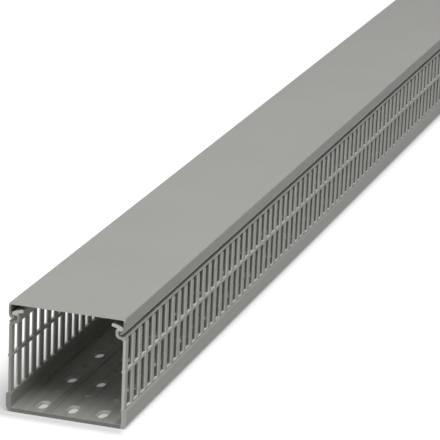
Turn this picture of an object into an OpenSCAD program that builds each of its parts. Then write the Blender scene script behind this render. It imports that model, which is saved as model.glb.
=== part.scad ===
// Slotted wire duct: one length of slotted wiring trunking with the cover that clips over its walls.
// X is across the duct, Y along its length, Z up. The bottom of the base lies on Z = 0.

/* [Stock] */
// length of the base and of the cover, end to end
duct_l = 2000; // [500:12.5:3000]
// width over the foot of the side walls, the widest point
foot_w = 80; // [60:0.5:120]
// height from the bottom of the base to the top of the cover
duct_h = 72.5; // [60:0.5:100]
// distance the cover stands out past the base at the front end
cover_ahead = 1.2; // [0:0.1:3]

/* [Base section] */
// how far the foot stands out past the slotted wall above it
foot_step = 1.5; // [0.5:0.1:3]
// height of the foot of each side wall
foot_h = 12.5; // [8:0.5:20]
// outer radius of the two bottom edges
foot_r = 4.5; // [2:0.1:6]
// thickness of the slotted side walls
wall_t = 1.8; // [1.2:0.1:2.5]
// thickness of the floor
floor_t = 2.4; // [1.4:0.1:3]
// radius of the round beads along the walls
bead_r = 1; // [0.5:0.1:1.5]
// how far a bead stands out of its wall
bead_out = 0.5; // [0.2:0.05:0.8]
// radius of the ribs along the floor
rib_r = 1.6; // [0.5:0.1:2]
// height of the ribs along the floor
rib_h = 0.6; // [0.2:0.05:1]

/* [Base head] */
// thickness of the strip that forms the groove for the cover
head_t = 1.8; // [1:0.1:2.5]
// outer radius of the lower bend of that strip
bend_r = 2.8; // [2:0.1:4]
// room between the hook of the cover and the groove
groove_gap = 1.4; // [0.8:0.1:2]
// thickness of the tongue that keeps the wires in
tongue_t = 2.2; // [1:0.1:2.5]
// how far the tongue reaches inward from the nose
tongue_in = 5.1; // [3:0.1:8]
// how far the tongue rises from the nose
tongue_up = 2.2; // [1:0.1:4]
// radius of the score line under the shoulder of each wall
score_r = 1; // [0.6:0.1:1.5]
// depth of that score line
score_d = 0.4; // [0.2:0.05:0.8]

/* [Side slots] */
// distance from one slot to the next
slot_pitch = 12.5; // [8:0.5:25]
// width of a slot
slot_w = 8; // [4:0.5:12]
// distance from the front end to the middle of the first slot
slot_start = 9; // [6:0.1:12]
// height of the bottom of the lower slots
slot_z0 = 13.2; // [10:0.1:30]
// height of the bottom of the web between lower and upper slots
web_z0 = 36.2; // [20:0.1:60]
// height of that web
web_h = 2.2; // [2:0.1:10]

/* [Floor holes] */
// distance between hole positions along the duct
hole_pitch = 25; // [12.5:12.5:50]
// distance from the front end to the middle of the first holes
hole_start = 13.4; // [8:0.1:20]
// distance between the three rows of holes
row_pitch = 20; // [15:0.5:30]
// width of the oblong holes
oblong_w = 6.2; // [4:0.1:8]
// length of the oblong holes
oblong_l = 12.8; // [7:0.2:16]
// diameter of the round holes
round_d = 4.5; // [3:0.1:7]
// width of the bevel around the oblong holes
bevel = 0.5; // [0.2:0.1:1]

/* [Cover] */
// how far the sides of the cover lie inside the slotted walls
cover_in = 0.15; // [0:0.05:1]
// thickness of the cover
cover_t = 1.2; // [1:0.1:2]
// radius of the two top edges of the cover
cover_r = 1.0; // [0.5:0.1:1.2]
// radius of the rolled hook along each skirt, to the middle of its thickness
hook_r = 2.85; // [1.5:0.05:4]
// depth from the top of the cover to the centre of the hook
hook_down = 7.3; // [6:0.1:12]
// how far the hook stops short of pointing straight down, in degrees
hook_short = 12; // [0:1:40]
// running gap between the hook and the nose
fit_gap = 0.35; // [0.1:0.05:0.6]

/* [Hidden] */
$fn = 48;

eps = 1;
slot_n = floor((duct_l - slot_start - slot_w / 2) / slot_pitch) + 1;
hole_n = floor((duct_l - hole_start) / hole_pitch) + 1;
rows = [-row_pitch, 0, row_pitch];
ribs = [-row_pitch * 1.57, -row_pitch * 0.59, row_pitch * 0.225, row_pitch * 1.17];
web_z1 = web_z0 + web_h;

// right-hand side of the section; the left is its mirror image
foot_x1 = foot_w / 2;
wall_x1 = foot_x1 - foot_step;
wall_x0 = wall_x1 - wall_t;
skin_x1 = wall_x1 - cover_in;
skin_x0 = skin_x1 - cover_t;
under_z = duct_h - cover_t;
hook_x = skin_x1 - cover_t / 2 - hook_r;
hook_z = duct_h - hook_down;
hook_out = hook_r + cover_t / 2;
tip_x = hook_x + hook_r * sin(hook_short);
tip_z = hook_z - hook_r * cos(hook_short);
nose_dx = 0.3;
nose_dz = -0.2;
nose_x = hook_x + nose_dx;
nose_z = hook_z + nose_dz;
nose_r = hook_r - cover_t / 2 - fit_gap - sqrt(nose_dx * nose_dx + nose_dz * nose_dz);
groove_z0 = hook_z - hook_out - groove_gap;
groove_x0 = tip_x - cover_t / 2 - groove_gap;
groove_z1 = nose_z - nose_r;
head_x0 = groove_x0 - head_t;
head_z0 = groove_z0 - head_t;
lip_r = 0.4;
lap = 0.3;
end_swell = 0.1;
floor_fillet = 1.2;
head_fillet = 2;
cover_fillet = 0.6;
shoulder = 1;
score_z = groove_z0 - shoulder - score_r * 0.6;
// the slots go through the wall up to through_z1, and as pockets in its outer part up to slot_z1
slot_z1 = groove_z0 - shoulder;
through_z1 = head_z0 - 0.6;
pocket_x0 = wall_x0 - 0.8;
// the tongue bends once on its way from the nose to its tip
bend_x = nose_x - tongue_in * 0.43;
bend_z = nose_z + tongue_up * 0.67;

// a straight bar of a section with round ends, each a little fuller than the bar
module bar(x0, z0, x1, z1, t) {
    l = sqrt((x1 - x0) * (x1 - x0) + (z1 - z0) * (z1 - z0));
    translate([x0, z0]) rotate(atan2(z1 - z0, x1 - x0)) translate([0, -t / 2]) square([l, t]);
    translate([x0, z0]) circle(d = t + end_swell);
    translate([x1, z1]) circle(d = t + end_swell);
}

// the quarter of a disc on the side sx, sz of its centre
module quarter(x, z, r, sx, sz) {
    intersection() {
        translate([x, z]) circle(r = r);
        translate([sx > 0 ? x : x - r - eps, sz > 0 ? z : z - r - eps]) square(r + eps);
    }
}

// an inside corner of radius r with its sides on sx, sz
module fillet(x, z, r, sx, sz) {
    difference() {
        translate([sx > 0 ? x - 0.2 : x - r, sz > 0 ? z - 0.2 : z - r]) square(r + 0.2);
        translate([x + sx * r, z + sz * r]) circle(r = r);
    }
}

// section of the right half of the base, without beads and ribs
module base_half() {
    // floor and rounded bottom edge
    translate([-eps, 0]) square([foot_x1 - foot_r + eps, floor_t]);
    difference() {
        union() {
            quarter(foot_x1 - foot_r, foot_r, foot_r, 1, -1);
            translate([foot_x1 - foot_r, foot_r]) square([foot_r, foot_h - foot_step - foot_r]);
            translate([wall_x0, foot_r]) square([wall_t, foot_h - foot_r]);
            quarter(wall_x1, foot_h - foot_step, foot_step, 1, 1);
        }
        translate([wall_x0 - foot_r, floor_t]) square([foot_r, foot_h]);
    }
    fillet(wall_x0, floor_t, floor_fillet, -1, 1);
    // slotted wall with the score line under its shoulder
    difference() {
        union() {
            translate([wall_x0, foot_r]) square([wall_t, groove_z0 - lip_r - foot_r]);
            translate([wall_x0 - eps, groove_z0 - shoulder]) square([wall_t + eps - lip_r, shoulder]);
            quarter(wall_x1 - lip_r, groove_z0 - lip_r, lip_r, 1, 1);
        }
        translate([wall_x1 - score_d + score_r, score_z]) circle(r = score_r);
    }
    // groove for the hook of the cover
    difference() {
        union() {
            quarter(head_x0 + bend_r, head_z0 + bend_r, bend_r, -1, -1);
            translate([head_x0 + bend_r, head_z0]) square([wall_x0 - head_x0 - bend_r + 0.5, head_t]);
            translate([head_x0, head_z0 + bend_r]) square([head_t, groove_z1 + lap - head_z0 - bend_r]);
        }
        translate([head_x0 + bend_r, head_z0 + bend_r]) circle(r = bend_r - head_t);
    }
    quarter(groove_x0, groove_z1, head_t, -1, 1);
    translate([groove_x0 - lap, groove_z1]) square([nose_x - groove_x0 + lap, head_t]);
    fillet(wall_x0, head_z0, head_fillet, -1, -1);
    // nose and tongue
    translate([nose_x, nose_z]) circle(r = nose_r);
    bar(nose_x, nose_z + 0.5, bend_x, bend_z, tongue_t);
    bar(bend_x, bend_z, nose_x - tongue_in, nose_z + tongue_up, tongue_t);
}

// beads along the right-hand wall: one inside over the foot, one on each face at the web
module beads() {
    web_z = web_z0 + web_h / 2;
    translate([wall_x0 + bead_r - bead_out, foot_h - 0.6]) circle(r = bead_r);
    translate([wall_x0 + bead_r - bead_out, web_z]) circle(r = bead_r);
    translate([wall_x1 - bead_r + bead_out, web_z]) circle(r = bead_r);
}

// low round rib on the floor
module rib(x) {
    intersection() {
        translate([x, floor_t + rib_h - rib_r]) circle(r = rib_r);
        translate([x - rib_r, floor_t / 2]) square([2 * rib_r, floor_t]);
    }
}

// section of the right half of the cover
module cover_half() {
    translate([-eps, under_z]) square([skin_x1 - cover_r + eps, cover_t]);
    quarter(skin_x1 - cover_r, duct_h - cover_r, cover_r, 1, 1);
    translate([skin_x0, hook_z]) square([cover_t, duct_h - cover_r - hook_z]);
    fillet(skin_x0, under_z, cover_fillet, -1, -1);
    // rolled hook
    difference() {
        quarter(hook_x, hook_z, hook_out, 1, -1);
        translate([hook_x, hook_z]) circle(r = hook_out - cover_t);
        translate([hook_x, hook_z]) rotate(hook_short)
            translate([-2 * hook_out, -2 * hook_out]) square([2 * hook_out, 3 * hook_out]);
    }
    translate([tip_x, tip_z]) circle(d = cover_t);
}

// a section run along the duct
module run(y) {
    translate([0, duct_l / 2 + y, 0]) rotate([90, 0, 0]) linear_extrude(height = duct_l) children();
}

module both() {
    children();
    mirror([1, 0]) children();
}

module slots() {
    for (i = [0 : slot_n - 1])
        translate([0, i * slot_pitch + slot_start - duct_l / 2 - slot_w / 2, 0]) {
            translate([-foot_w, 0, slot_z0]) cube([2 * foot_w, slot_w, web_z0 - slot_z0]);
            translate([-foot_w, 0, web_z1]) cube([2 * foot_w, slot_w, through_z1 - web_z1]);
            translate([pocket_x0, 0, through_z1 - 0.1])
                cube([foot_w, slot_w, slot_z1 - through_z1 + 0.1]);
            translate([-pocket_x0 - foot_w, 0, through_z1 - 0.1])
                cube([foot_w, slot_w, slot_z1 - through_z1 + 0.1]);
        }
}

module oblong(w, l, z0, z1) {
    translate([0, (l - w) / 2, z0]) cylinder(d = w, h = z1 - z0);
    translate([0, -(l - w) / 2, z0]) cylinder(d = w, h = z1 - z0);
    translate([-w / 2, -(l - w) / 2, z0]) cube([w, l - w, z1 - z0]);
}

// a bevel at 45 degrees, cut up through the ribs beside the hole
module oblong_bevel() {
    d = (oblong_l - oblong_w) / 2;
    rise = bevel + rib_h + 0.3;
    lo = oblong_w / 2;
    hi = lo + rise;
    z = floor_t - bevel;
    for (s = [-1, 1])
        translate([0, s * d, z]) cylinder(r1 = lo, r2 = hi, h = rise);
    translate([0, d, 0]) rotate([90, 0, 0]) linear_extrude(height = 2 * d)
        polygon([[-lo, z], [lo, z], [hi, z + rise], [-hi, z + rise]]);
}

module floor_holes() {
    for (i = [0 : hole_n - 1]) for (x = rows)
        translate([x, i * hole_pitch + hole_start - duct_l / 2, 0]) {
            if (i % 2 == 0) {
                oblong(oblong_w, oblong_l, -eps, floor_t + eps);
                oblong_bevel();
            } else {
                translate([0, 0, -eps]) cylinder(d = round_d, h = floor_t + 2 * eps);
            }
        }
}

module duct_base() {
    color([0.66, 0.66, 0.63]) translate([0, cover_ahead / 2, 0]) difference() {
        run(0) union() {
            both() base_half();
            both() beads();
            for (x = ribs) rib(x);
        }
        slots();
        floor_holes();
    }
}

module cover() {
    color([0.68, 0.68, 0.65]) run(-cover_ahead / 2) both() cover_half();
}

duct_base();
cover();
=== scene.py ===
import math

import bpy
from mathutils import Matrix, Vector


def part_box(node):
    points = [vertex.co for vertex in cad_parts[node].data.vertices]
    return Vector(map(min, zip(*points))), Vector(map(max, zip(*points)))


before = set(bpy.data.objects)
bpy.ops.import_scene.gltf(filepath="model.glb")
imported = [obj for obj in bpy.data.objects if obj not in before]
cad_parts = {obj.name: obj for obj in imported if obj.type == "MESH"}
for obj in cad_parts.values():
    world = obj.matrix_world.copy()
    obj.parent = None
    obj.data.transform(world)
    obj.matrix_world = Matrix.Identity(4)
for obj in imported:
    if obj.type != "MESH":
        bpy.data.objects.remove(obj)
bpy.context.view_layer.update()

MM = 0.001
PVC = (0.409, 0.409, 0.381)          # stone grey, linear
WHITE = (1.0, 1.0, 1.0, 1.0)
BASE_LO, BASE_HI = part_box("duct_base")
COVER_LO, COVER_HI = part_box("cover")

# levels and widths of the section that the tones follow
FLOOR_TOP = 2.39 * MM                # just under the inner face of the floor
FOOT_TOP = 12.5 * MM
SLOT_LO, SLOT_HI = 13.0 * MM, 60.0 * MM
WALL_IN = 36.4 * MM                  # just inside the walls
HOOK_TOP = 66.0 * MM                 # the cover's rolled hooks end below this

# the floor: how white its paint is, and the lift that makes what the camera sees of it white
FLOOR_SIZE = 12.0
FLOOR_PAINT = 0.7
FLOOR_LIFT = 0.65
SKY = 0.06

# the camera: azimuth, elevation and roll in degrees, place in metres, focal length in mm
CAMERA_ANGLES = (-17.50, 17.33, 2.25)
CAMERA_PLACE = (0.5545, -2.4547, 0.6193)
CAMERA_LENS = 219.7

SEEN_RAYS = ("Is Camera Ray", "Is Glossy Ray", "Is Transmission Ray")
MID = (0.3, 0.7)                     # the span of a noise that a ramp spreads out


class Shader:
    """A node tree with short calls for the nodes that the materials and the world use."""

    def __init__(self, owner):
        owner.use_nodes = True
        self.owner = owner
        self.tree = owner.node_tree
        self.tree.nodes.clear()

    def node(self, kind, **settings):
        made = self.tree.nodes.new(kind)
        for key, value in settings.items():
            setattr(made, key, value)
        return made

    def feed(self, socket, value):
        """Links a value that is a socket, and sets one that isn't."""
        if isinstance(value, bpy.types.NodeSocket):
            self.tree.links.new(value, socket)
        else:
            socket.default_value = value

    def math(self, operation, *values):
        made = self.node("ShaderNodeMath", operation=operation)
        for socket, value in zip(made.inputs, values):
            self.feed(socket, value)
        return made.outputs[0]

    def size(self, value):
        return self.math("ABSOLUTE", value)

    def below(self, value, limit):
        return self.math("LESS_THAN", value, limit)

    def above(self, value, limit):
        return self.math("GREATER_THAN", value, limit)

    def largest(self, *values):
        top = values[0]
        for value in values[1:]:
            top = self.math("MAXIMUM", top, value)
        return top

    def product(self, *values):
        made = values[0]
        for value in values[1:]:
            made = self.math("MULTIPLY", made, value)
        return made

    def total(self, *values):
        made = values[0]
        for value in values[1:]:
            made = self.math("ADD", made, value)
        return made

    def pick(self, mask, outside, inside):
        """The value outside where the mask is zero and the value inside where it is one."""
        rest = self.math("SUBTRACT", 1.0, mask)
        return self.total(self.product(mask, inside), self.product(rest, outside))

    def ramp(self, value, lo, hi, to_lo=0.0, to_hi=1.0):
        made = self.node("ShaderNodeMapRange", clamp=True)
        for key, number in (("From Min", lo), ("From Max", hi), ("To Min", to_lo), ("To Max", to_hi)):
            made.inputs[key].default_value = number
        self.feed(made.inputs["Value"], value)
        return made.outputs[0]

    def place(self):
        """The point on the object, in its own metres."""
        return self.node("ShaderNodeTexCoord").outputs["Object"]

    def split(self, vector):
        made = self.node("ShaderNodeSeparateXYZ")
        self.feed(made.inputs[0], vector)
        return made.outputs

    def noise(self, scale, detail, along=1.0, up=1.0):
        """A noise over the object, drawn out along Y or Z where its factor is small."""
        stretched = self.node("ShaderNodeVectorMath", operation="MULTIPLY")
        self.feed(stretched.inputs[0], self.place())
        stretched.inputs[1].default_value = (1.0, along, up)
        made = self.node("ShaderNodeTexNoise")
        self.feed(made.inputs["Vector"], stretched.outputs[0])
        made.inputs["Scale"].default_value = scale
        made.inputs["Detail"].default_value = detail
        return made.outputs["Fac"]

    def tint(self, colour, factor):
        """The colour times a factor that changes over the surface."""
        made = self.node("ShaderNodeVectorMath", operation="SCALE")
        self.feed(made.inputs[0], colour)
        self.feed(made.inputs["Scale"], factor)
        return made.outputs[0]

    def bump(self, height, distance, strength):
        made = self.node("ShaderNodeBump")
        made.inputs["Strength"].default_value = strength
        made.inputs["Distance"].default_value = distance
        self.feed(made.inputs["Height"], height)
        return made.outputs["Normal"]

    def seen(self):
        """One for the rays that show a surface to the camera, directly or in a gloss."""
        path = self.node("ShaderNodeLightPath")
        return self.largest(*(path.outputs[ray] for ray in SEEN_RAYS))

    def finish(self, surface, kind="ShaderNodeOutputMaterial"):
        out = self.node(kind)
        self.feed(out.inputs["Surface"], surface)
        return self.owner


def pvc(name, colour, lo, hi, cut_tone, side_tone):
    """Extruded grey PVC; cut_tone gives the tone of its cut faces, side_tone that of all the others."""
    s = Shader(bpy.data.materials.new(name))
    at = s.split(s.place())
    normal = s.split(s.node("ShaderNodeNewGeometry").outputs["True Normal"])

    # an extruded skin has die lines along the duct, fine and broad, and a faint cloud
    fine = s.noise(1900.0, 3.0, along=0.004)
    broad = s.noise(120.0, 2.0, along=0.01)
    cloud = s.noise(14.0, 3.0)
    skin = s.total(s.ramp(fine, *MID, 0.985, 1.015),
                   s.ramp(broad, *MID, -0.015, 0.015),
                   s.ramp(cloud, *MID, -0.025, 0.025))
    skin = s.product(skin, side_tone(s, at, normal))

    # a cut face looks along the duct, and a sawn one also lies at one of its two ends
    cut = s.ramp(s.size(normal["Y"]), 0.25, 0.6)
    at_end = s.largest(s.below(at["Y"], lo.y + 0.2 * MM), s.above(at["Y"], hi.y - 0.2 * MM))
    marks = s.noise(2600.0, 3.0, up=0.12)
    grain = s.noise(900.0, 3.0)
    cut_skin = s.product(cut_tone(s, at, at_end), s.ramp(marks, *MID, 0.94, 1.06),
                         s.ramp(grain, *MID, 0.95, 1.05))

    rough = s.total(s.ramp(broad, *MID, 0.48, 0.54), s.product(cut, 0.2))
    height = s.total(s.product(fine, 0.5), s.product(marks, cut, at_end))

    surface = s.node("ShaderNodeBsdfPrincipled")
    s.feed(surface.inputs["Base Color"], s.tint(colour, s.pick(cut, skin, cut_skin)))
    s.feed(surface.inputs["Roughness"], rough)
    s.feed(surface.inputs["Normal"], s.bump(height, 0.03 * MM, 0.5))
    surface.inputs["IOR"].default_value = 1.5
    surface.inputs["Specular IOR Level"].default_value = 0.25
    return s.finish(surface.outputs["BSDF"])


def base_cuts(s, at, at_end):
    """The tones of the base's sawn ends and of its punched slots and holes, with painted light and shade
    on both.
    """
    across = s.size(at["X"])

    # the sawn ends are paler than the skin, partly from the saw's whitening and partly as painted light:
    # paler towards the right wall and palest on the tongues as painted light, darker on the foot and on
    # the shoulder as painted shade, and dark across the floor as painted contact shade
    sawn = s.product(s.ramp(at["X"], -34 * MM, 34 * MM, 1.2, 1.93),
                     s.ramp(at["Z"], FOOT_TOP - 0.5 * MM, FOOT_TOP + 0.5 * MM, 0.8, 1.0),
                     s.ramp(at["Z"], 57.0 * MM, 59.0 * MM, 1.0, 0.85))
    sawn = s.pick(s.ramp(at["Z"], 63.8 * MM, 64.6 * MM), sawn, 2.25)
    floor = s.product(s.below(at["Z"], 2.5 * MM), s.below(across, 36.5 * MM))
    sawn = s.pick(floor, sawn, 0.7)

    # the punched cuts are paler, partly from the punching's whitening and partly as painted light, and the
    # inner half of a wall's cut is darkened as painted shade
    punched = s.pick(s.above(across, WALL_IN), 1.9, s.ramp(across, 37.3 * MM, 38.0 * MM, 0.6, 2.15))
    return s.pick(at_end, punched, sawn)


def base_sides(s, at, normal):
    """The tones of the base's skin, and of the punched edges that don't look along the duct, with painted
    shade on the inner floor and painted highlights on the slots' level edges and the holes' walls.
    """
    across = s.size(at["X"])

    # the inner floor is darkened as painted shade, in streaks along the ribs, and the inner walls are a
    # little paler
    inside = s.product(s.below(across, 36.75 * MM), s.above(at["Z"], FLOOR_TOP), s.below(at["Z"], SLOT_HI))
    floor_shade_streaks = s.ramp(s.noise(230.0, 3.0, along=0.006), *MID, 0.69, 1.01)
    inner = s.pick(s.ramp(at["Z"], 3.0 * MM, 14.0 * MM), floor_shade_streaks, 1.15)
    skin = s.pick(inside, 1.0, inner)

    # the level edges of the slots, and the walls and bevels of the floor's holes, pale from the punching
    # and lightened further as painted highlights
    lit_slot_edge = s.product(s.above(across, WALL_IN), s.above(s.size(normal["Z"]), 0.9),
                          s.above(at["Z"], SLOT_LO), s.below(at["Z"], SLOT_HI))
    lit_hole_wall = s.product(s.below(at["Z"], FLOOR_TOP), s.above(at["Z"], 0.02 * MM), s.below(across, 34.0 * MM))
    return s.pick(lit_hole_wall, s.pick(lit_slot_edge, skin, 2.2), 1.7)


def cover_cuts(s, at, at_end):
    """The cut through the cover's top is paler than the cut through its skirts, as a painted highlight on
    the lid's front edge.
    """
    return s.ramp(at["Z"], 70.0 * MM, 71.0 * MM, 1.0, 1.8)


def cover_sides(s, at, normal):
    """The skirts are darker than the top as painted shade, and the rolled underside of the hooks is paler
    as painted light in the shade of the gap.
    """
    skirt_shade = s.ramp(s.size(normal["X"]), 0.6, 0.95, 1.0, 0.80)
    rolled = s.product(s.ramp(normal["Z"], -0.5, -0.2, 1.0, 0.0), s.below(at["Z"], HOOK_TOP))
    return s.pick(rolled, skirt_shade, 1.7)


def white_floor(name):
    """A white floor that keeps the object's soft shadow and adds a painted shadow close to the duct; what
    the camera sees of it is lifted to white.
    """
    s = Shader(bpy.data.materials.new(name))
    at = s.split(s.place())
    across, along = s.size(at["X"]), s.size(at["Y"])

    # the lift fades close to the duct, which paints a shadow on the floor beside it and under its holes
    right = s.ramp(at["X"], 37 * MM, 46 * MM, 0.3, 1.0)
    left = s.ramp(at["X"], -95 * MM, -40 * MM, 1.0, 0.15)
    ends = s.ramp(along, BASE_HI.y, BASE_HI.y + 15 * MM)
    painted_shadow_fade = s.largest(right, left, ends)

    # far from the lamps the floor gets the full lift, so it stays white out to its edge
    far = s.largest(s.ramp(across, 0.3, 1.5, FLOOR_LIFT, 1.0), s.ramp(along, 1.05, 2.0, FLOOR_LIFT, 1.0))

    paint = s.node("ShaderNodeBsdfDiffuse")
    paint.inputs["Color"].default_value = (FLOOR_PAINT, FLOOR_PAINT, FLOOR_PAINT, 1.0)
    glow = s.node("ShaderNodeEmission")
    glow.inputs["Color"].default_value = WHITE
    s.feed(glow.inputs["Strength"], s.product(s.seen(), painted_shadow_fade, far))
    both = s.node("ShaderNodeAddShader")
    s.feed(both.inputs[0], paint.outputs[0])
    s.feed(both.inputs[1], glow.outputs[0])
    return s.finish(both.outputs[0])


def dress(node, material):
    """Gives a CAD node its material."""
    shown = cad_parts[node]
    shown.data.materials.clear()
    shown.data.materials.append(material)


def make_floor(size, material):
    mesh = bpy.data.meshes.new("floor")
    h = size / 2
    mesh.from_pydata([(-h, -h, 0), (h, -h, 0), (h, h, 0), (-h, h, 0)], [], [(0, 1, 2, 3)])
    mesh.materials.append(material)
    floor = bpy.data.objects.new("floor", mesh)
    bpy.context.scene.collection.objects.link(floor)


def make_world(strength):
    """An even pale sky; the camera sees it as white."""
    world = bpy.data.worlds.new("studio")
    bpy.context.scene.world = world
    s = Shader(world)
    sky = s.node("ShaderNodeBackground")
    sky.inputs["Color"].default_value = WHITE
    s.feed(sky.inputs["Strength"], s.ramp(s.seen(), 0.0, 1.0, strength, 1.0))
    s.finish(sky.outputs[0], "ShaderNodeOutputWorld")


def softbox(name, place, aim, size, power):
    """A square area lamp that looks from its place to the point it is aimed at."""
    data = bpy.data.lights.new(name, "AREA")
    data.shape = "RECTANGLE"
    data.size = size
    data.size_y = size
    data.energy = power
    lamp = bpy.data.objects.new(name, data)
    lamp.location = place
    lamp.rotation_mode = "QUATERNION"
    lamp.rotation_quaternion = (Vector(aim) - Vector(place)).to_track_quat("-Z", "Y")
    bpy.context.scene.collection.objects.link(lamp)


def make_camera():
    """Looks down the duct from the front right, a little above it, through a long lens."""
    azimuth, elevation, roll = (math.radians(a) for a in CAMERA_ANGLES)
    ahead = Vector((math.sin(azimuth) * math.cos(elevation),
                    math.cos(azimuth) * math.cos(elevation),
                    -math.sin(elevation)))
    level_right = Vector((math.cos(azimuth), -math.sin(azimuth), 0.0))
    level_up = level_right.cross(ahead)
    right = level_right * math.cos(roll) + level_up * math.sin(roll)
    up = level_up * math.cos(roll) - level_right * math.sin(roll)
    data = bpy.data.cameras.new("camera")
    data.sensor_width = 36.0
    data.lens = CAMERA_LENS
    data.clip_start, data.clip_end = 0.05, 50.0
    camera = bpy.data.objects.new("camera", data)
    turn = Matrix((right, up, -ahead)).transposed()
    camera.matrix_world = Matrix.Translation(CAMERA_PLACE) @ turn.to_4x4()
    bpy.context.scene.collection.objects.link(camera)
    bpy.context.scene.camera = camera


dress("duct_base", pvc("base_pvc", PVC, BASE_LO, BASE_HI, base_cuts, base_sides))
dress("cover", pvc("cover_pvc", PVC, COVER_LO, COVER_HI, cover_cuts, cover_sides))
make_floor(FLOOR_SIZE, white_floor("white_floor"))
make_world(SKY)
softbox("key", (0.39, -1.68, 2.36), (0.0, -0.75, 0.0), 1.6, 49.0)
softbox("far", (0.30, 0.70, 2.40), (0.0, 0.4, 0.0), 1.6, 6.0)
make_camera()

bpy.context.scene.view_settings.view_transform = "Standard"
